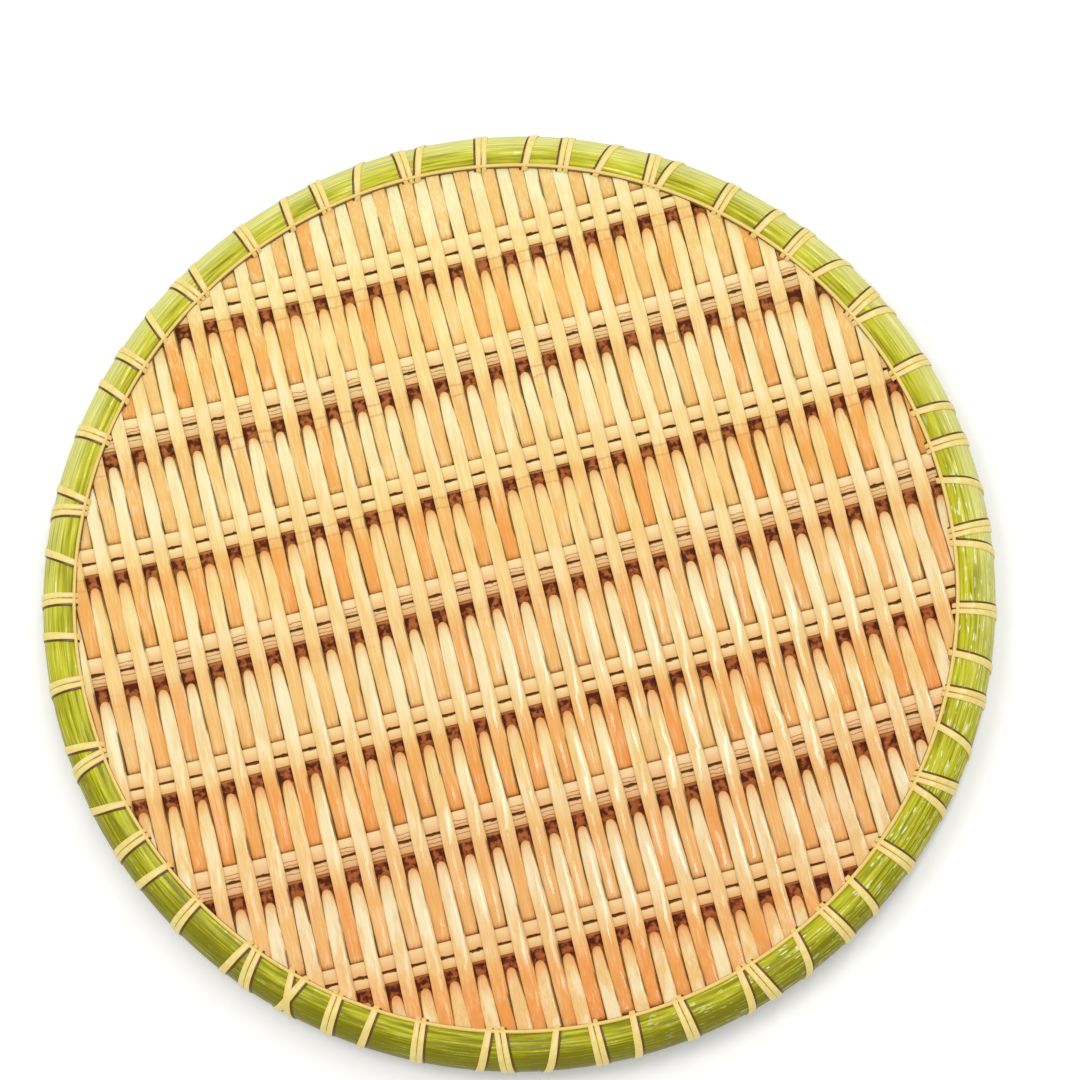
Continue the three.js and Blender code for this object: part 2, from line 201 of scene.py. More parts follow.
def length(name, text, millimetres):
    return bpy.props.FloatProperty(
        name=name, description=text, default=millimetres * MM, unit="LENGTH", precision=5
    )


def colour(name, text, *default):
    return bpy.props.FloatVectorProperty(
        name=name, description=text, default=srgb(*default), subtype="COLOR", min=0, max=1
    )


class TraySizes(bpy.types.PropertyGroup):
    """Sizes of the weave and the rim."""

    opening_x: length("Opening X", "Where the middle of the hoop's opening lies along X", -1)
    opening_y: length("Opening Y", "Where the middle of the hoop's opening lies along Y", 0.25)
    hoop_width: length("Hoop Width", "Mean width of the hoop", 14.2)
    hoop_shoulder: length("Hoop Shoulder", "Width of the hoop's sloping inner part", 5.5)
    flat_radius: length("Flat Radius", "Radius at which the dish starts to rise", 105)
    dish_rise: length("Dish Rise", "Rise of the dish from its middle to the opening", 8)
    ground_depth: length("Ground Depth", "Depth of the dark ground below the grooves", 0.45)
    upright_pitch: length("Upright Pitch", "Distance from one upright strip to the next", 5.3)
    upright_phase: length("Upright Phase", "X of upright strip number 0", 1.1)
    upright_thickness: length("Upright Thickness", "Thickness of an upright strip", 0.75)
    band_pitch: length("Band Pitch", "Distance from one cross band to the next", REPEAT / 2)
    band_phase: length("Band Phase", "Y of the middle cross band", 3.9)
    band_lift: length("Band Lift", "How far the broad bands lie above their even place", 1.7)
    wide_strip: length("Wide Strip", "Width of the upper strip of a plain band", 5.2)
    narrow_strip: length("Narrow Strip", "Width of the lower strip of a plain band", 3.65)
    broad_wide: length("Broad Wide Strip", "Width of the upper strip of a broad band", 5.9)
    broad_narrow: length("Broad Narrow Strip", "Width of the lower strip of a broad band", 4.05)
    strip_spacing: length("Strip Spacing", "Dark gap between the two strips of a band", 0.85)
    cross_thickness: length("Cross Thickness", "Thickness of a cross strip", 0.8)
    strap_width: length("Strap Width", "Width of a single lashing", 2.6)
    strap_thickness: length("Strap Thickness", "Thickness of a lashing", 0.75)
    strap_lift: length("Strap Lift", "Height of a lashing's top over the hoop", 0.6)
    trim_width: length("Trim Width", "Width of the pale trim on the hoop's inner edge", 1.4)


class TrayColours(bpy.types.PropertyGroup):
    """Colours of the glaze."""

    light_fall: colour("Light Fall", "The palest upright strips on their way down", 253, 226, 152)
    deep_fall: colour("Deep Fall", "The deepest upright strips on their way down", 250, 176, 90)
    # Also used for the painted shade on the strips' right sides
    outline: colour("Outline", "Lines painted between the strips", 108, 82, 22)
    hoop_dark: colour("Hoop Dark", "Dark streaks of the hoop", 138, 132, 6)
    hoop_light: colour("Hoop Light", "Light streaks of the hoop", 226, 222, 92)
    lashing: colour("Lashing", "Lashings and trim", 248, 232, 146)
    body: colour("Body", "Underside and foot", 243, 224, 178)


# Helpers for modelling


def deselect():
    if bpy.context.object and bpy.context.object.mode != "OBJECT":
        bpy.ops.object.mode_set(mode="OBJECT")
    bpy.ops.object.select_all(action="DESELECT")


def take(*pieces):
    """Selects these pieces, the first one active, and nothing else."""
    deselect()
    for piece in pieces:
        piece.select_set(True)
    bpy.context.view_layer.objects.active = pieces[0]


@contextlib.contextmanager
def editing(piece):
    """Edits a piece alone, with steps in edit mode."""
    take(piece)
    bpy.ops.object.mode_set(mode="EDIT")
    yield
    bpy.ops.object.mode_set(mode="OBJECT")


def choose(piece, kind, test):
    """In edit mode, selects the vertices, edges or faces that pass a test."""
    bpy.ops.mesh.select_mode(type=kind)
    bpy.ops.mesh.select_all(action="DESELECT")
    edited = bmesh.from_edit_mesh(piece.data)
    parts = {"VERT": edited.verts, "EDGE": edited.edges, "FACE": edited.faces}[kind]
    for part in parts:
        part.select_set(bool(test(part)))
    edited.select_flush_mode()
    bmesh.update_edit_mesh(piece.data)


def points_of(piece):
    points = np.empty(3 * len(piece.data.vertices))
    piece.data.vertices.foreach_get("co", points)
    return points.reshape(-1, 3)


def reshape(piece, points):
    piece.data.vertices.foreach_set("co", points.ravel())
    piece.data.update()


def note(piece, **values):
    """Stores numbers, one for each vertex or the same for all, for the materials to read."""
    for name, value in values.items():
        layer = piece.data.attributes.get(name) or piece.data.attributes.new(name, "FLOAT", "POINT")
        layer.data.foreach_set("value", np.broadcast_to(value, len(piece.data.vertices)).astype(np.float32))


def duplicate(piece, name):
    copy = piece.copy()
    copy.data = piece.data.copy()
    copy.name = name
    bpy.context.collection.objects.link(copy)
    return copy


def join(pieces, name):
    take(*pieces)
    if len(pieces) > 1:
        bpy.ops.object.join()
    joined = bpy.context.object
    joined.name = name
    joined.data.name = name
    return joined


def finish_piece(piece, glaze, replaced):
    """Closes and smooths a piece, gives it its finish and lets it ride on the tray."""
    with editing(piece):
        bpy.ops.mesh.select_all(action="SELECT")
        bpy.ops.mesh.remove_doubles(threshold=1e-6)
        bpy.ops.mesh.normals_make_consistent(inside=False)
    bpy.ops.object.shade_smooth_by_angle(angle=math.radians(50))
    piece.data.materials.clear()
    piece.data.materials.append(bpy.data.materials[glaze])
    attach(piece, "root")
    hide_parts(replaced)


def rounded_strip(name, width, thickness, crown, stations):
    """A strip with a domed top, extruded along -Y from station to station.

    A station is the distance along and the height of the top, in millimetres, and the share of the
    given width."""
    deselect()
    bpy.ops.mesh.primitive_circle_add(
        vertices=12, radius=1, fill_type="NGON", location=(0, 0, 0), rotation=(math.pi / 2, 0, 0)
    )
    strip = bpy.context.object
    strip.name = name
    bpy.ops.object.transform_apply(location=False, rotation=True, scale=False)
    first = stations[0]
    with editing(strip):
        bpy.ops.mesh.select_all(action="SELECT")
        bpy.ops.transform.resize(value=(width * first[2] / 2, 1, crown), center_override=(0, 0, 0))
        choose(strip, "VERT", lambda v: v.co.z < -1e-7)
        bpy.ops.transform.resize(value=(1.04, 1, 0), center_override=(0, 0, 0))
        bpy.ops.transform.translate(value=(0, 0, crown - thickness))
        choose(strip, "VERT", lambda v: v.co.z < -1e-7 and abs(v.co.x) < width * first[2] * 0.4)
        bpy.ops.mesh.dissolve_verts()
        choose(strip, "FACE", lambda f: True)
        bpy.ops.transform.translate(value=(0, -first[0] * MM, first[1] * MM - crown))
        for before, after in zip(stations, stations[1:]):
            step = (0, (before[0] - after[0]) * MM, (after[1] - before[1]) * MM)
            bpy.ops.mesh.extrude_region_move(TRANSFORM_OT_translate={"value": step})
            ratio = after[2] / before[2]
            if ratio != 1:
                bpy.ops.transform.resize(value=(ratio, 1, 1), center_override=(0, -after[0] * MM, 0))
    return strip


def repeated(strip, period, count, joined=True):
    """Repeats a strip along -Y, either joined end to end without the faces between, or apart."""
    if joined:
        with editing(strip):
            choose(strip, "FACE", lambda f: len(f.verts) > 4)
            bpy.ops.mesh.delete(type="ONLY_FACE")
    array = strip.modifiers.new("Repeat", "ARRAY")
    array.use_relative_offset = False
    array.use_constant_offset = True
    array.constant_offset_displace = (0, -period, 0)
    array.count = count
    array.use_merge_vertices = joined
    array.merge_threshold = 1e-6
    take(strip)
    bpy.ops.object.modifier_apply(modifier=array.name)


def dish_height(sizes, x, y):
    """Height of the grooves between the strips."""
    radius = np.hypot(x - sizes.opening_x, y - sizes.opening_y)
    share = (radius - sizes.flat_radius) / (opening_radius(sizes) - sizes.flat_radius)
    return GROOVE + sizes.dish_rise * np.maximum(share, 0) ** 2


def opening_radius(sizes):
    return HOOP_HIGH.x - sizes.hoop_width


def lay_in_dish(piece, sizes, ends):
    """Cuts a flat piece square to the opening's edge near two points on that edge, and lays it down."""
    centre = Vector((sizes.opening_x, sizes.opening_y, 0))
    with editing(piece):
        for x, y in ends:
            outward = (Vector((x, y, 0)) - centre).normalized()
            bpy.ops.mesh.select_all(action="SELECT")
            bpy.ops.mesh.bisect(
                plane_co=centre + outward * (opening_radius(sizes) - INSET),
                plane_no=outward,
                use_fill=True,
                clear_outer=True,
            )
    points = points_of(piece)
    points[:, 2] += dish_height(sizes, points[:, 0], points[:, 1])
    reshape(piece, points)


def spun(name, profile, steps=180):
    """A closed profile of radii and heights, spun round the Z axis."""
    deselect()
    bpy.ops.mesh.primitive_circle_add(vertices=len(profile), radius=1, fill_type="NOTHING")
    ring = bpy.context.object
    ring.name = name
    reshape(ring, np.array([(r, 0, z) for r, z in profile], float))
    with editing(ring):
        bpy.ops.mesh.select_all(action="SELECT")
        bpy.ops.mesh.spin(
            steps=steps, angle=2 * math.pi, center=(0, 0, 0), axis=(0, 0, 1), use_auto_merge=True
        )
        bpy.ops.mesh.select_all(action="SELECT")
        bpy.ops.mesh.remove_doubles(threshold=1e-7)
    return ring


def smooth_step(values, low, high):
    share = np.clip((values - low) / (high - low), 0, 1)
    return share * share * (3 - 2 * share)


def even_place(sizes, row):
    """Where the middle of a band would lie along Y if the bands were spaced evenly."""
    return sizes.band_phase + (MIDDLE_BAND - row) * sizes.band_pitch


def band_shape(sizes, row):
    """The widths of a band's two strips and the heights along Y of its top edge and its dark gap."""
    broad = row % 2 == 1
    wide = sizes.broad_wide if broad else sizes.wide_strip
    narrow = sizes.broad_narrow if broad else sizes.narrow_strip
    lift = sizes.band_lift if broad else 0
    top = even_place(sizes, row) + lift + (wide + sizes.strip_spacing + narrow) / 2
    return wide, narrow, top, top - wide - sizes.strip_spacing / 2


def quarter(sizes, reach, rise, degrees):
    """Points on a quarter of an ellipse round the hoop's shoulder, at these angles."""
    return [
        (sizes.hoop_shoulder + reach * math.cos(angle), WIDEST + rise * math.sin(angle))
        for angle in map(math.radians, degrees)
    ]


def hoop_path(sizes, inside, lift):
    """A path over the hoop from its inner edge to its skirt, as distances from the opening and heights.

    inside gives its first points in millimetres, and lift is its distance from the hoop after them."""
    reach = sizes.hoop_width - sizes.hoop_shoulder + lift
    return np.array(
        [
            *((distance * MM, HOOP_EDGE + height * MM) for distance, height in inside),
            *quarter(sizes, reach, CREST - WIDEST + lift, [90 - 7.5 * k for k in range(13)]),
            (sizes.hoop_width - 0.25 * MM + lift, (WIDEST + SKIRT_LOW) / 2),
            (sizes.hoop_width - 1.2 * MM + lift, SKIRT_LOW),
        ]
    )


def along_and_normals(path):
    """How far along a path each of its points lies, and its normals there."""
    along = np.r_[0, np.cumsum(np.hypot(*np.diff(path, axis=0).T))]
    ahead = np.gradient(path, axis=0)
    return along, np.stack([-ahead[:, 1], ahead[:, 0]], 1) / np.linalg.norm(ahead, axis=1)[:, None]


def hoop_point(sizes, degrees, distance, height):
    """Where places on the hoop lie: degrees anticlockwise, distance from the opening, height."""
    share = distance / sizes.hoop_width
    radius = opening_radius(sizes) + distance
    angle = np.radians(degrees)
    x = sizes.opening_x * (1 - share) + radius * np.cos(angle)
    y = sizes.opening_y * (1 - share) + radius * np.sin(angle)
    return np.stack([x, y, height], 1)


# Helpers for materials


class Value:
    """An output of a shader node, for sums that are written as usual."""

    def __init__(self, socket):
        self.socket = socket

    def __add__(self, other):
        return maths("ADD", self, other)

    def __sub__(self, other):
        return maths("SUBTRACT", self, other)

    def __rsub__(self, other):
        return maths("SUBTRACT", other, self)

    def __mul__(self, other):
        return maths("MULTIPLY", self, other)

    def __truediv__(self, other):
        return maths("DIVIDE", self, other)

    def __abs__(self):
        return maths("ABSOLUTE", self)


def connect(made, inputs):
    """Links values to some of a node's inputs, and sets others."""
    for key, value in inputs.items():
        if isinstance(value, Value):
            made.id_data.links.new(value.socket, made.inputs[key])
        else:
            made.inputs[key].default_value = value


def node(kind, inputs, tree=None, **settings):
    """The outputs of a new node, which goes in the tree of the values that it takes."""
    if tree is None:
        tree = next(value.socket.id_data for value in inputs.values() if isinstance(value, Value))
    made = tree.nodes.new(kind)
    for key, value in settings.items():
        setattr(made, key, value)
    connect(made, inputs)
    return [Value(socket) for socket in made.outputs]


def source(tree, kind, output, **settings):
    """A named output of a new node that takes no inputs."""
    return next(one for one in node(kind, {}, tree, **settings) if one.socket.name == output)


def object_place(tree):
    return source(tree, "ShaderNodeTexCoord", "Object")


def attribute(tree, name):
    return source(tree, "ShaderNodeAttribute", "Fac", attribute_name=name)


def maths(operation, *values):
    return node("ShaderNodeMath", dict(enumerate(values)), operation=operation)[0]


def highest(*values):
    return functools.reduce(lambda one, other: maths("MAXIMUM", one, other), values)


def split(vector):
    return node("ShaderNodeSeparateXYZ", {0: vector})


def combined(*parts):
    return node("ShaderNodeCombineXYZ", dict(enumerate(parts)))[0]


def stretched(vector, factors):
    return node("ShaderNodeVectorMath", {0: vector, 1: factors}, operation="MULTIPLY")[0]


def between(value, low, high, to_low=0.0, to_high=1.0, shape="SMOOTHSTEP"):
    """A value spread from one range over another, with smooth ends."""
    limits = {0: value, 1: low, 2: high, 3: to_low, 4: to_high}
    return node("ShaderNodeMapRange", limits, interpolation_type=shape)[0]


def along_repeat(along, start, full, fading, end, left=0.0):
    """1 on a part of the weave's repeat, given in millimetres, with soft ends."""
    rising = between(along, start / REPEAT, full / REPEAT)
    return rising * between(along, fading / REPEAT, end / REPEAT, 1.0, left)


def line_at(value, centre, half):
    """1 on a soft painted line where a value is near a centre, and 0 away from it."""
    return between(abs(value - centre), half * 0.4, half, 1.0, 0.0)


def noise_at(vector, scale, detail=2.0):
    return node("ShaderNodeTexNoise", {"Vector": vector, "Scale": scale, "Detail": detail})[0]


def waver(vector, scale, reach, detail=2.0):
    """Noise that swings both ways round 0."""
    return (noise_at(vector, scale, detail) - 0.5) * reach


def mixed(share, first, second, blend="MIX"):
    """A mix of two colours, each of them a value or three numbers."""
    first, second = (one if isinstance(one, Value) else (*one, 1) for one in (first, second))
    return node("ShaderNodeMix", {0: share, 6: first, 7: second}, data_type="RGBA", blend_type=blend)[2]


def ramp(factor, stops):
    colour_out = node("ShaderNodeValToRGB", {"Fac": factor})[0]
    places = colour_out.socket.node.color_ramp.elements
    while len(places) < len(stops):
        places.new(1.0)
    for place, (position, value) in zip(places, stops):
        place.position = position
        place.color = (*value, 1)
    return colour_out


def repeat_ramp(along, stops):
    """A colour ramp over one repeat of the weave, with stops in millimetres."""
    return ramp(along, [(distance / REPEAT, srgb(*value)) for distance, value in stops])


def new_group(name, inputs, outputs, build):
    """A shader node group. build turns its inputs, given with their defaults, into its outputs."""
    group = bpy.data.node_groups.new(name, "ShaderNodeTree")
    for title, default in inputs.items():
        kind = "NodeSocketVector" if isinstance(default, tuple) else "NodeSocketFloat"
        group.interface.new_socket(title, in_out="INPUT", socket_type=kind).default_value = default
    for title in outputs:
        group.interface.new_socket(title, in_out="OUTPUT", socket_type="NodeSocketFloat")
    values = build(group, *node("NodeGroupInput", {}, group)[: len(inputs)])
    connect(group.nodes.new("NodeGroupOutput"), dict(zip(outputs, values)))


def grouped(tree, name, inputs):
    return node("ShaderNodeGroup", inputs, tree, node_tree=bpy.data.node_groups[name])


def weave_place_group(sizes):
    """Place along an upright strip's repeat, from the band that it dives under, a random value for
    each repeat of each strip, and 1 for the odd strips."""

    def build(group, strip):
        _, y, _ = split(object_place(group))
        turns = ((sizes.band_phase - y) / sizes.band_pitch + 4.0 + strip) * 0.5
        seed = combined(strip, maths("FLOOR", turns))
        chance = node("ShaderNodeTexWhiteNoise", {"Vector": seed}, noise_dimensions="2D")[0]
        odd = maths("GREATER_THAN", maths("FRACT", strip * 0.5 + 0.01), 0.25)
        return maths("FRACT", turns), chance, odd

    new_group("Weave Place", {"Strip": 0.0}, ("Along", "Random", "Odd"), build)


def fibre_group():
    """Fine painted fibres that run along one axis, as a tone from 0 to 1 and a height."""

    def build(_, spot, fineness):
        fine = noise_at(stretched(spot, fineness), 1.0, 3.0)
        return between(fine * 0.65 + noise_at(spot, 70.0) * 0.35, 0.3, 0.7), fine

    inputs = {"Vector": (0.0, 0.0, 0.0), "Fineness": (900.0, 40.0, 900.0)}
    new_group("Painted Fibres", inputs, ("Tone", "Height"), build)


def ripple_group():
    """The slight waviness of the glaze, as a height, with a roughness that changes with it."""

    def build(group, scale, smooth, rough):
        waves = noise_at(object_place(group), scale)
        return waves, between(waves, 0.3, 0.7, smooth, rough, shape="LINEAR")

    new_group("Glaze Ripple", {"Scale": 260.0, "Smooth": 0.12, "Rough": 0.24}, ("Height", "Roughness"), build)


def glazed(name, paint, scene, strength=0.25, ripple=260.0, smooth=0.35, rough=0.5, gloss=0.3, coat=0.5):
    """A glaze. paint gives its colour, a height or None, and maybe where its coat shines."""
    material = bpy.data.materials.new(name)
    material.use_nodes = True
    tree = material.node_tree
    base, height, coat = (*paint(tree, scene), coat)[:3]
    waves, roughness = grouped(tree, "Glaze Ripple", {"Scale": ripple, "Smooth": smooth, "Rough": rough})
    raised = waves if height is None else waves * 0.4 + height
    bump = node("ShaderNodeBump", {"Strength": strength, "Distance": 0.2 * MM, "Height": raised})[0]
    inputs = {
        "Base Color": base,
        "Roughness": roughness,
        "Normal": bump,
        "Coat Normal": bump,
        "IOR": 1.5,
        "Specular IOR Level": gloss,
        "Coat Weight": coat,
        "Coat Roughness": 0.05,
    }
    connect(tree.nodes["Principled BSDF"], inputs)


def lower_painted_shade(base, y):
    """Painted shade: darker and more orange towards the bottom of the tray."""
    return mixed(between(y, 0.13, -0.13, shape="LINEAR"), base, (0.935, 0.76, 0.755), "MULTIPLY")


def upright_paint(tree, scene):
    colours = scene.tray_colours
    along, chance, odd = grouped(tree, "Weave Place", {"Strip": attribute(tree, "strip")})
    across = attribute(tree, "across")
    spot = object_place(tree)
    x, y, _ = split(spot)
    tone, grain = grouped(tree, "Painted Fibres", {"Vector": spot, "Fineness": (1500.0, 45.0, 1500.0)})
    painted = along + (tone - 0.5) * 0.009
    base = mixed(odd, repeat_ramp(painted, EVEN_COLOURS), repeat_ramp(painted, ODD_COLOURS))

    # Every strip is lighter or deeper than the others on its way down
    falling = along_repeat(painted, *FALLING)
    base = mixed(falling * between(chance, 0.5, 1.0, 0.0, 0.9), base, colours.light_fall)
    base = mixed(falling * between(chance, 0.5, 0.0, 0.0, 0.6), base, colours.deep_fall)
    base = mixed(tone * 0.45, base, srgb(238, 196, 128), "MULTIPLY")
    base = mixed(between(tone, 0.4, 0.1) * 0.25, base, srgb(255, 246, 206))

    # Faint wavy creases below some of the crossings, in the upper half of the tray
    first = odd * (1.8 / REPEAT) + 49.7 / REPEAT
    from_first = along - first + waver(spot, 320.0, 0.02, 1.0)
    creases = highest(*(line_at(from_first, place / REPEAT, 0.6 / REPEAT) for place in (0, 4)))
    creases *= between(y, -0.03, 0.05) * between(maths("FRACT", chance * 7.0), 0.5, 0.6, 0.0, 0.4)
    base = mixed(creases, base, srgb(196, 146, 76))

    # Painted outlines along both sides, broken up; painted shade makes them stronger on the right and adds a
    # dark wedge on the right here and there
    wander = stretched(spot, (300.0, 110.0, 300.0))
    uneven = waver(wander, 1.0, 0.3)
    side = abs(across) + uneven
    crossing = between(abs(along - 0.5), 0.055, 0.08, 0.25, 1.0)
    edge = between(side, 0.88, 1.0, 0.0, 0.75) * between(noise_at(spot, 95.0), 0.4, 0.6, 0.1, 1.0)
    edge *= between(across, -0.5, 0.5, 0.45, 1.0)
    shade_wedge = between(across + uneven, 0.7, 0.9) * between(noise_at(wander, 0.45, 1.0), 0.5, 0.6, 0.0, 0.85)
    base = mixed(highest(edge, shade_wedge) * crossing, base, colours.outline)
    base = mixed(between(abs(across), 0.97, 1.0, 0.0, 0.6) * crossing, base, srgb(170, 122, 56))

    # Painted sheen: the strips are paler, as a soft reflection, where they rise, low on the tray and at its
    # sides
    breaks = stretched(spot, (330.0, 42.0, 330.0))
    painted_sheen = along_repeat(along, *RISING) * between(noise_at(breaks, 0.6), 0.45, 0.58, 0.0, 0.5)
    painted_sheen *= between(side, 0.9, 0.75) * highest(between(y, 0.03, -0.05), between(abs(x), 0.02, 0.07))
    base = mixed(painted_sheen, lower_painted_shade(base, y), srgb(252, 244, 204))

    # The coat shines in streaks low on the tray, which start sooner or later on each strip
    from_start = along - (chance - 0.5) * (16 / REPEAT)
    gaps = noise_at(breaks, 1.0, 1.0)
    rise_shines = along_repeat(from_start, *RISE_SHINES) * between(gaps, 0.38, 0.48, 0.0, 0.85)
    fall_shines = between(from_start, 55 / REPEAT, 62 / REPEAT) * between(gaps, 0.52, 0.58, 0.0, 0.7)
    shine = highest(rise_shines, fall_shines)
    shine *= between(y, 0.012, -0.04) * between(x, -0.1, 0.03, 0.45, 1.0)
    return base, grain * 0.5, shine


def cross_paint(tree, _):
    spot = object_place(tree)
    x, y, _ = split(spot)
    tone, grain = grouped(tree, "Painted Fibres", {"Vector": spot, "Fineness": (60.0, 1600.0, 1600.0)})
    broad, across, from_dash = (attribute(tree, name) for name in ("broad", "across", "from_dash"))
    slope = between(across, -0.9, 0.9) + tone * 0.15
    plain = mixed(slope, srgb(243, 201, 131), srgb(251, 234, 168))
    heavy = mixed(slope, srgb(243, 200, 138), srgb(253, 234, 174))
    below_dash = between(from_dash, 0.0, 0.001, 1.0, 0.0)
    base = mixed(below_dash * broad * 0.5, mixed(broad, plain, heavy), srgb(226, 180, 118))

    # Thin wavy lines drawn on the broad bands, placed in turn high and low
    place = from_dash + waver(spot, 420.0, 0.0011, 1.0)
    low, high = (
        highest(*(line_at(place, centre * MM, 0.26 * MM) for centre in centres))
        for centres in THIN_LINES
    )
    is_high = maths("GREATER_THAN", maths("FRACT", (x - THIN_LINES_START) / THIN_LINES_PERIOD), 0.5)
    lines = low * (1.0 - is_high) + high * is_high
    base = mixed(lines * broad * 0.75, base, srgb(150, 110, 58))

    # The dark dash between the two strips of a band, uneven and faint in places
    faint = between(noise_at(spot, 210.0, 1.0), 0.46, 0.38, 0.0, 0.0007)
    from_middle = abs(from_dash) + waver(spot, 380.0, 0.0014, 1.0) + faint
    base = mixed(between(from_middle, 0.0004, 0.0007, 0.95, 0.0), base, srgb(70, 36, 8))
    base = mixed(between(abs(across), 0.9, 1.0, 0.0, 0.5), base, srgb(170, 120, 62))
    return lower_painted_shade(base, y), grain * 0.5


def ground_paint(tree, scene):
    """The ground between the strips, mottled in dark brown in the hollow below each band, and darker at the
    hollows' sides as painted shade.
    """
    sizes = scene.tray_sizes
    spot = object_place(tree)
    x, y, _ = split(spot)
    strips = (x - sizes.upright_phase) / sizes.upright_pitch
    strip = maths("ROUND", strips)
    along, _, odd = grouped(tree, "Weave Place", {"Strip": strip})
    along += (1.0 - odd) * (0.9 / REPEAT)
    base = repeat_ramp(along + waver(spot, 300.0, 0.022), GROUND_COLOURS)
    specks = noise_at(spot, 400.0)
    # Painted shade: the hollows are darker at their sides, next to the neighbouring strips
    specks_and_side_shade = specks + between(abs(strips - strip), 0.2, 0.5) * 0.16
    specks_and_side_shade += between(along, 7.5 / REPEAT, 9.5 / REPEAT, 0.0, -0.07)
    dark = between(specks_and_side_shade, 0.38, 0.6, 0.0, 0.95) * along_repeat(along, *HOLLOW, left=0.3)
    return lower_painted_shade(mixed(dark, base, srgb(80, 30, 14)), y), specks


def body_paint(tree, scene):
    blotches = noise_at(object_place(tree), 40.0, 3.0)
    return mixed(blotches, scene.tray_colours.body, srgb(246, 230, 190)), None


def hoop_paint(tree, scene):
    colours = scene.tray_colours
    spot = object_place(tree)
    x, y, z = split(spot)
    radius = maths("SQRT", x * x + y * y)
    girth = radius - z
    streaks = noise_at(combined(girth * 30.0, x, y), 46.0, 3.0)

    # Painted light and shade: the outer side is lighter at the far end of the tray and darker at the near end
    outer = between(radius, 0.167, 0.173)
    end = y + x * 0.35
    far = between(end, -0.06, 0.06)
    near = between(end, -0.04, -0.17)
    tone = streaks * 0.8 + noise_at(spot, 60.0) * 0.2
    tone = tone + far * (outer * 0.04 + 0.03) - near * (outer * 0.09 + 0.05)
    stops = [
        (0.36, colours.hoop_dark),
        (0.44, srgb(166, 162, 16)),
        (0.51, srgb(190, 187, 30)),
        (0.59, srgb(208, 204, 50)),
        (0.66, colours.hoop_light),
        (0.74, srgb(248, 243, 140)),
    ]
    base = ramp(tone, stops)
    # Painted highlights: pale flecks on the light streaks, and glints, more of them towards +X and the near
    # end
    highlight_flecks = between(streaks, 0.6, 0.68) * between(noise_at(spot, 500.0), 0.52, 0.62, 0.0, 0.7)
    glints = between(noise_at(combined(girth * 6.0, x, y), 190.0), 0.6, 0.68, 0.0, 0.85)
    glints *= between(x, -0.02, 0.06, 0.15, 1.0) * between(y, 0.05, -0.03, 0.15, 1.0)
    base = mixed(highest(highlight_flecks, glints), base, srgb(244, 246, 190))
    # Painted sheen on the outer side at the far end, and painted shade on it at the near end
    base = mixed(outer * far * 0.35, base, srgb(253, 250, 196))
    return mixed(outer * near * 0.5, base, srgb(112, 106, 2)), streaks


def lashing_paint(tree, scene):
    place = {"Vector": object_place(tree), "Fineness": (500.0, 500.0, 500.0)}
    tone, grain = grouped(tree, "Painted Fibres", place)
    base = mixed(tone * 0.8, scene.tray_colours.lashing, srgb(240, 206, 116))
    inner = between(attribute(tree, "distance"), 0.008, 0.0016, 0.0, 0.8)
    base = mixed(inner, base, srgb(250, 212, 140))
    base = mixed(attribute(tree, "trim"), base, srgb(240, 206, 112))
    return mixed(attribute(tree, "painted_line"), base, srgb(100, 68, 12)), grain


# Operators, one for each piece or group of like pieces


class TRAY_OT_finishes(bpy.types.Operator):
    """Makes the materials of the tray"""

    bl_idname = "tray.finishes"
    bl_label = "Finishes"

    def execute(self, context):
        scene = context.scene
        weave_place_group(scene.tray_sizes)
        fibre_group()
        ripple_group()
        glazed("Glazed Uprights", upright_paint, scene, gloss=0.1)
        glazed("Glazed Cross Strips", cross_paint, scene, gloss=0.1, coat=0.03)
        glazed("Painted Ground", ground_paint, scene, smooth=0.5, rough=0.7, gloss=0.08, coat=0.0)
        glazed("Glazed Body", body_paint, scene, ripple=90.0)
        glazed("Glazed Hoop", hoop_paint, scene, strength=0.5, smooth=0.3, rough=0.45, gloss=0.15, coat=0.1)
        glazed("Glazed Lashings", lashing_paint, scene, smooth=0.2, rough=0.3, coat=0.15)
        return {"FINISHED"}


class TRAY_OT_dish(bpy.types.Operator):
    """Spins the dish with its dark ground and smooth underside"""

    bl_idname = "tray.dish"
    bl_label = "Dish"

    def execute(self, context):
        sizes = context.scene.tray_sizes
        bottom = FLOOR_LOW.z
        thickness = GROOVE - bottom
        opening = opening_radius(sizes)
        flange = opening + 2.6 * MM
        edge = opening - CLEARANCE
        seat = GROOVE + sizes.dish_rise - CLEARANCE

        def rise(radius):
            return float(dish_height(sizes, sizes.opening_x + radius, sizes.opening_y))

        outwards = np.linspace(sizes.flat_radius, opening, 16)
        profile = [
            (0, bottom),
            *((radius, rise(radius) - thickness) for radius in outwards),
            (flange, rise(opening) - thickness),
            (flange, seat),
            (edge, seat),
            (edge, rise(edge) - sizes.ground_depth),
            *((r, rise(r) - sizes.ground_depth) for r in outwards[::-1] if r < edge - MM),
            (0, GROOVE - sizes.ground_depth),
        ]
        dish = spun("dish", profile)
        reshape(dish, points_of(dish) + (sizes.opening_x, sizes.opening_y, 0))
        finish_piece(dish, "Glazed Body", "woven_floor")
        dish.data.materials.append(bpy.data.materials["Painted Ground"])
        for face in dish.data.polygons:
            face.material_index = int(face.normal.z > 0.5)
        return {"FINISHED"}


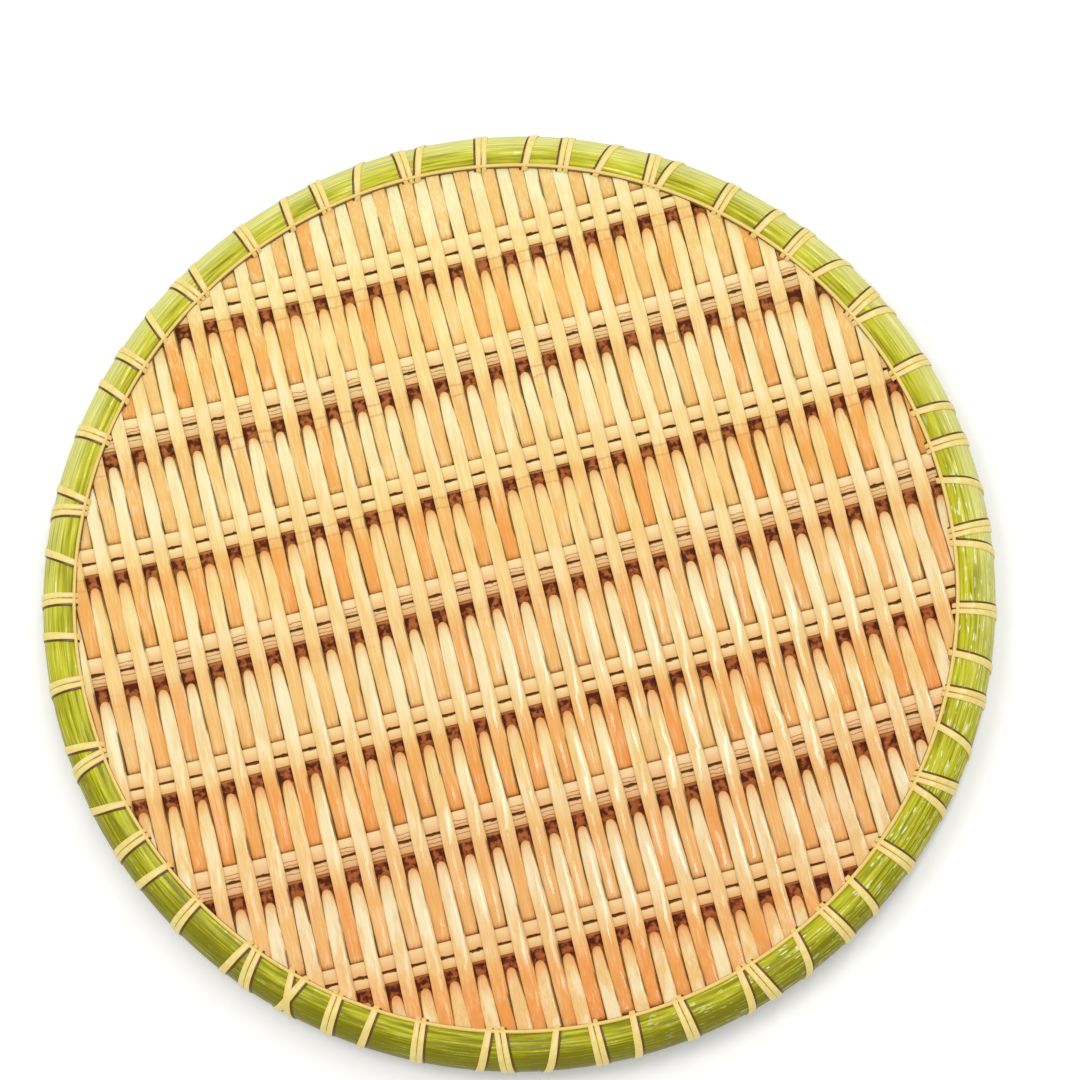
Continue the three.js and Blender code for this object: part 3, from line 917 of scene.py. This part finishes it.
class TRAY_OT_foot(bpy.types.Operator):
    """Spins the foot ring that the tray stands on"""

    bl_idname = "tray.foot"
    bl_label = "Foot Ring"

    def execute(self, context):
        outer = FOOT_HIGH.x
        inner = outer - 6 * MM
        top = FOOT_HIGH.z
        soft = 0.4 * MM
        draft = 1 * MM
        side = [(0, top), (draft - 0.05 * MM, soft), (draft + soft * 0.3, soft * 0.3), (draft + soft, 0)]
        profile = [(inner + d, z) for d, z in side] + [(outer - d, z) for d, z in reversed(side)]
        foot = spun("standing_ring", profile)
        finish_piece(foot, "Glazed Body", "foot_ring")
        return {"FINISHED"}


class TRAY_OT_uprights(bpy.types.Operator):
    """Models two upright strips and lays copies of them over and under the bands"""

    bl_idname = "tray.uprights"
    bl_label = "Upright Strips"
    group_size: bpy.props.IntProperty(name="Strips in a Group", default=8, min=1)

    def model(self, sizes, odd):
        """An upright strip that dives under the plain bands if it is odd and else under the broad ones."""
        over_row = int(odd)
        _, narrow, top, dash = band_shape(sizes, over_row)
        even = even_place(sizes, over_row)
        middle = REPEAT / 2
        over_from = middle - (top - even) / MM
        over_to = middle + (even - dash + sizes.strip_spacing / 2 + narrow) / MM
        dive_row = 1 - over_row
        dive = REPEAT - (band_shape(sizes, dive_row)[2] - even_place(sizes, dive_row)) / MM - 0.3
        tip = TIPS[odd]
        tops = (
            (0, BURIED, HIDDEN_WIDTH),
            (tip - 0.1, BURIED, HIDDEN_WIDTH),
            *((tip + along, height, width) for along, height, width in TONGUE),
            (over_from - 0.8, 2.66, FULL_WIDTH),
            (over_from - 0.35, 2.7, FULL_WIDTH),
            (middle, 2.8, FULL_WIDTH),
            (over_to + 0.35, 2.72, FULL_WIDTH),
            (over_to + 0.8, 2.68, FULL_WIDTH),
            (over_to + 3.5, 2.45, FULL_WIDTH),
            (57, 2.1, FULL_WIDTH),
            (64, 1.72, FULL_WIDTH),
            (71, 1.38, 5.26),
            (dive - 2.4, 1.1, 5.2),
            (dive - 0.7, 0.88, 5.15),
            (dive, 0.45, 5.0),
            (dive + 0.4, BURIED, 4.6),
            (REPEAT, BURIED, HIDDEN_WIDTH),
        )
        feet = (
            (0, BURIED_FOOT),
            (tip - 0.1, BURIED_FOOT),
            (tip, WALL_FOOT),
            (over_from - 0.8, WALL_FOOT),
            (over_from - 0.35, BRIDGE_UNDERSIDE),
            (over_to + 0.35, BRIDGE_UNDERSIDE),
            (over_to + 0.8, WALL_FOOT),
            (dive, WALL_FOOT),
            (dive + 0.4, BURIED_FOOT),
            (REPEAT, BURIED_FOOT),
        )
        crown = 0.4 * MM
        strip = rounded_strip("upright_model", MM, sizes.upright_thickness, crown, tops)
        points = points_of(strip)
        along = -points[:, 1] / MM
        stations, heights, widths = np.array(tops).T
        depth = np.interp(along, stations, heights) * MM - points[:, 2]
        points[:, 2] = np.where(depth > crown + 1e-5, np.interp(along, *np.array(feet).T) * MM, points[:, 2])
        reshape(strip, points)
        note(strip, across=points[:, 0] / (np.interp(along, stations, widths) * MM / 2))
        repeated(strip, REPEAT * MM, UPRIGHT_REPEATS)
        return strip

    def bed(self, tip):
        """The beds that the tongues of an upright strip lie on, one for each band that it dives under."""
        stations = [(tip + along, height, FULL_WIDTH) for along, height in BED]
        strip = rounded_strip("bed_model", MM, 1.2 * MM, 0.05 * MM, stations)
        repeated(strip, REPEAT * MM, UPRIGHT_REPEATS, joined=False)
        return strip

    def execute(self, context):
        sizes = context.scene.tray_sizes
        chance = random.Random(SEED)
        models = [self.model(sizes, odd) for odd in (False, True)]
        beds = [self.bed(tip) for tip in TIPS]
        reach = opening_radius(sizes) - INSET
        middle = sizes.opening_x - sizes.upright_phase
        beyond = reach + 1.2 * MM
        first = math.ceil((middle - beyond) / sizes.upright_pitch)
        last = math.floor((middle + beyond) / sizes.upright_pitch)
        strips, laid = [], []

        def sway(y, low, high):
            """A wave along a strip, whose length and place are left to chance."""
            return np.sin(y * chance.uniform(low, high) + chance.uniform(0, 6.3))

        for number in range(first, last + 1):
            strip = duplicate(models[number % 2], f"upright_{number}")
            bed = duplicate(beds[number % 2], f"bed_{number}")
            x = sizes.upright_phase + number * sizes.upright_pitch
            start = sizes.band_phase + (4 - number % 2) * sizes.band_pitch + REPEAT * MM
            moved = points_of(strip)
            moved[:, 1] += start
            y = moved[:, 1]
            moved[:, 0] *= 1 + 0.03 * sway(y, 90, 160)
            moved[:, 0] = moved[:, 0] * chance.uniform(1.0, 1.025) + x
            moved[:, 0] += 0.18 * MM * sway(y, 35, 60)
            moved[:, 0] += 0.1 * MM * sway(y, 130, 220)
            reshape(strip, moved)
            reshape(bed, points_of(bed) + (x, start, 0))
            note(strip, strip=number)
            beside = min(abs(x - sizes.opening_x), reach - CLEARANCE)
            half = math.sqrt(reach**2 - beside**2)
            near = sizes.opening_x + math.copysign(beside, x - sizes.opening_x)
            for piece, pieces in ((strip, strips), (bed, laid)):
                lay_in_dish(piece, sizes, [(near, sizes.opening_y + end) for end in (half, -half)])
                pieces.append(piece)
        for model in models + beds:
            bpy.data.objects.remove(model)
        for k in range(0, len(strips), self.group_size):
            group = join(strips[k : k + self.group_size], f"upright_strips_{k // self.group_size + 1:02d}")
            finish_piece(group, "Glazed Uprights", "woven_floor")
        finish_piece(join(laid, "painted_beds"), "Painted Ground", "woven_floor")
        return {"FINISHED"}


class TRAY_OT_cross_strips(bpy.types.Operator):
    """Models a cross strip and threads a wide and a narrow one through the uprights at each band"""

    bl_idname = "tray.cross_strips"
    bl_label = "Cross Strips"

    def model(self, sizes, width, gap_side):
        """A cross strip along X, whose edge at the dark gap bends in at the ends of each window."""
        period = 2 * sizes.upright_pitch
        mirrored = [(2 * CROSS_HALF[-1][0] - along, height) for along, height in CROSS_HALF[-2::-1]]
        stations = [(along, height, 1) for along, height in (*CROSS_HALF, *mirrored)]
        strip = rounded_strip("cross_model", width, sizes.cross_thickness, 0.3 * MM, stations)
        points = points_of(strip)
        from_window = np.abs(-points[:, 1] - period / 2)
        inner = np.clip(points[:, 0] * gap_side / (width / 2), 0, 1)
        points[:, 0] += gap_side * 0.22 * MM * inner * smooth_step(from_window, 1.5 * MM, 2.8 * MM)
        reshape(strip, points)
        repeated(strip, period, CROSS_REPEATS)
        strip.data.transform(Matrix.Rotation(math.pi / 2, 4, "Z"))
        return strip

    def execute(self, context):
        sizes = context.scene.tray_sizes
        reach = opening_radius(sizes) - INSET
        for row in range(BANDS):
            wide, narrow, top, dash = band_shape(sizes, row)
            bottom = dash - sizes.strip_spacing / 2 - narrow
            start = sizes.upright_phase - (CROSS_REPEATS + row % 2) * sizes.upright_pitch
            for kind, width, y, gap_side in (
                ("wide", wide, top - wide / 2, -1),
                ("narrow", narrow, bottom + narrow / 2, 1),
            ):
                strip = self.model(sizes, width, gap_side)
                moved = points_of(strip)
                note(strip, across=moved[:, 1] / (width / 2))
                moved += (start, y, 0)
                reshape(strip, moved)
                note(strip, from_dash=moved[:, 1] - dash, broad=row % 2)
                half = math.sqrt(reach**2 - (y - sizes.opening_y) ** 2)
                lay_in_dish(strip, sizes, [(sizes.opening_x + end, y) for end in (half, -half)])
                strip.name = f"band_{row + 1}_{kind}"
                finish_piece(strip, "Glazed Cross Strips", f"cross_strip_{row + 1}_{kind}")
        return {"FINISHED"}


class TRAY_OT_hoop(bpy.types.Operator):
    """Spins the green hoop with its fine ribs"""

    bl_idname = "tray.hoop"
    bl_label = "Green Hoop"

    def execute(self, context):
        sizes = context.scene.tray_sizes
        face = hoop_path(sizes, HOOP_INSIDE, 0)
        along, _ = along_and_normals(face)
        fine = np.linspace(0, along[-1], RIB_POINTS)
        ribbed = np.stack([np.interp(fine, along, part) for part in face.T], 1)
        ribs = 0.5 - 0.5 * np.cos(2 * math.pi * np.arange(RIB_POINTS) / RIB_SPACING)
        ribbed -= along_and_normals(ribbed)[1] * (RIB_DEPTH * ribs)[:, None]
        wall = sizes.hoop_width - 3.9 * MM
        seat = GROOVE + sizes.dish_rise
        lining = [
            (wall, SKIRT_LOW),
            *quarter(sizes, wall - sizes.hoop_shoulder, seat - WIDEST, [90 * k / 8 for k in range(9)]),
            (CLEARANCE, seat),
        ]
        opening = opening_radius(sizes)
        profile = [(opening + d, z) for d, z in [*map(tuple, ribbed), *lining]]
        hoop = spun("green_hoop", profile, steps=240)
        points = points_of(hoop)
        share = (np.hypot(points[:, 0], points[:, 1]) - opening) / sizes.hoop_width
        reshape(hoop, points + np.outer(1 - share, (sizes.opening_x, sizes.opening_y, 0)))
        finish_piece(hoop, "Glazed Hoop", "rim_hoop")
        return {"FINISHED"}


class TRAY_OT_lashings(bpy.types.Operator):
    """Models a strap, a dark line and a length of trim, and wraps them round the hoop"""

    bl_idname = "tray.lashings"
    bl_label = "Trim and Lashings"

    def execute(self, context):
        sizes = context.scene.tray_sizes
        opening = opening_radius(sizes)
        path = hoop_path(sizes, STRAP_INSIDE, sizes.strap_lift)
        steps, normals = along_and_normals(path)
        whole = steps[-1] / MM
        stations = [(whole * k / 24, 0, 1 + 0.012 * (k - 12)) for k in range(25)]
        single = rounded_strip("strap_model", sizes.strap_width, sizes.strap_thickness, 0.22 * MM, stations)
        line = rounded_strip("line_model", 0.95 * MM, 0.5 * MM, 0.12 * MM, stations)

        def wrapped(model, knot, start, end, offset, scale, lower):
            """A strap or a line laid over the hoop, from start to end in degrees from the knot."""
            piece = duplicate(model, "strap")
            points = points_of(piece)
            along = np.clip(-points[:, 1], 0, steps[-1])
            distance, z = (
                np.interp(along, steps, part) + np.interp(along, steps, outwards) * (points[:, 2] - lower)
                for part, outwards in zip(path.T, normals.T)
            )
            middle = knot - (start + (end - start) * along / steps[-1])
            degrees = middle - np.degrees((points[:, 0] * scale + offset) / opening)
            reshape(piece, hoop_point(sizes, degrees, distance, z))
            note(piece, distance=distance, painted_line=int(model is line), trim=0)
            return piece

        turn = 360 / REPEATS
        lead = 4
        arc = opening / MM * math.radians(turn - 0.02)
        arc_stations = [(arc * k / 28, 0, 1) for k in range(29)]
        bead = rounded_strip("bead_model", sizes.trim_width, 1.3 * MM, 0.5 * MM, arc_stations)
        for k in range(REPEATS):
            knot = FIRST_KNOT - k * turn
            parts = []
            for start, end, count in (*LASHINGS, CROSSED) if k == CROSSED_REPEAT else LASHINGS:
                scale = 1 if count == 1 else DOUBLE_SCALE
                width = sizes.strap_width * scale
                aside = (width + DOUBLE_GAP) / 2
                offsets = [0] if count == 1 else [-aside, aside]
                parts += [wrapped(single, knot, start, end, offset, scale, 0) for offset in offsets]
                outer_side = offsets[0] - width / 2 - LINE_BESIDE
                parts.append(wrapped(line, knot, start, end, outer_side, 1, LINE_BELOW))
            trim = duplicate(bead, "trim")
            points = points_of(trim)
            degrees = knot + lead + np.degrees(points[:, 1] / opening)
            distance = -points[:, 0] + sizes.trim_width / 2 - 0.35 * MM
            z = np.where(points[:, 2] < -0.8 * MM, HOOP_EDGE - 2.3 * MM, points[:, 2] + HOOP_EDGE + 0.95 * MM)
            reshape(trim, hoop_point(sizes, degrees, distance, z))
            note(trim, distance=0.004, painted_line=0.8 * (z < HOOP_EDGE + 0.6 * MM), trim=0.8)
            piece = join([trim, *reversed(parts)], f"lashed_trim_{k + 1:02d}")
            finish_piece(piece, "Glazed Lashings", f"rim_binding_{k + 1:02d}")
        for model in (single, line, bead):
            bpy.data.objects.remove(model)
        return {"FINISHED"}


class TRAY_OT_stage(bpy.types.Operator):
    """Sets the floor, the lights, the background and the camera"""

    bl_idname = "tray.stage"
    bl_label = "Stage"

    def execute(self, context):
        deselect()
        bpy.ops.mesh.primitive_plane_add(size=40, location=(0, 0, 0))
        floor = context.object
        floor.name = "floor"
        material = bpy.data.materials.new("Pale Floor")
        material.use_nodes = True
        tree = material.node_tree
        away = node("ShaderNodeVectorMath", {0: object_place(tree)}, operation="LENGTH")[1]
        seen = source(tree, "ShaderNodeLightPath", "Is Camera Ray")
        inputs = {
            "Base Color": (0.92, 0.92, 0.92, 1),
            "Roughness": 0.9,
            "Emission Color": (1, 1, 1, 1),
            "Emission Strength": seen * between(away, 0.35, 1.4, 0.16, 0.55),
        }
        connect(tree.nodes["Principled BSDF"], inputs)
        floor.data.materials.append(material)

        world = bpy.data.worlds.new("Studio")
        context.scene.world = world
        world.use_nodes = True
        tree = world.node_tree
        rays = ("Is Camera Ray", "Is Transmission Ray")
        seen = highest(*(source(tree, "ShaderNodeLightPath", ray) for ray in rays))
        connect(tree.nodes["Background"], {"Color": (1, 1, 1, 1), "Strength": seen * 0.38 + 0.62})

        for name, size, power, place in LAMPS:
            bpy.ops.object.light_add(type="AREA", location=place)
            lamp = context.object
            lamp.name = name
            lamp.data.shape = "RECTANGLE"
            lamp.data.size, lamp.data.size_y = size
            lamp.data.energy = power
            lamp.visible_glossy = name == "key"
            lamp.rotation_euler = (-Vector(place)).to_track_quat("-Z", "Y").to_euler()

        bpy.ops.object.camera_add(location=CAMERA_PLACE)
        camera = context.object
        camera.name = "camera"
        camera.rotation_euler = [math.radians(angle) for angle in CAMERA_TURN]
        camera.data.sensor_width = SENSOR
        camera.data.lens = FOCAL_PIXELS / PHOTO_PIXELS * SENSOR
        context.scene.camera = camera
        context.scene.view_settings.view_transform = "Standard"
        return {"FINISHED"}


class TRAY_PT_panel(bpy.types.Panel):
    """Lists the pieces of the tray in the sidebar"""

    bl_idname = "TRAY_PT_panel"
    bl_label = "Round Woven Tray"
    bl_space_type = "VIEW_3D"
    bl_region_type = "UI"
    bl_category = "Tray"

    def draw(self, context):
        for step in STEPS:
            self.layout.operator(f"tray.{step}")
        for settings in (context.scene.tray_sizes, context.scene.tray_colours):
            for name in settings.__annotations__:
                self.layout.prop(settings, name)


STEPS = ("finishes", "dish", "foot", "uprights", "cross_strips", "hoop", "lashings", "stage")
CLASSES = (
    TraySizes,
    TrayColours,
    TRAY_OT_finishes,
    TRAY_OT_dish,
    TRAY_OT_foot,
    TRAY_OT_uprights,
    TRAY_OT_cross_strips,
    TRAY_OT_hoop,
    TRAY_OT_lashings,
    TRAY_OT_stage,
    TRAY_PT_panel,
)


def register():
    for one in CLASSES:
        bpy.utils.register_class(one)
    bpy.types.Scene.tray_sizes = bpy.props.PointerProperty(type=TraySizes)
    bpy.types.Scene.tray_colours = bpy.props.PointerProperty(type=TrayColours)


def unregister():
    del bpy.types.Scene.tray_colours
    del bpy.types.Scene.tray_sizes
    for one in reversed(CLASSES):
        bpy.utils.unregister_class(one)


def main():
    register()
    for step in STEPS:
        getattr(bpy.ops.tray, step)()


if __name__ == "__main__":
    main()
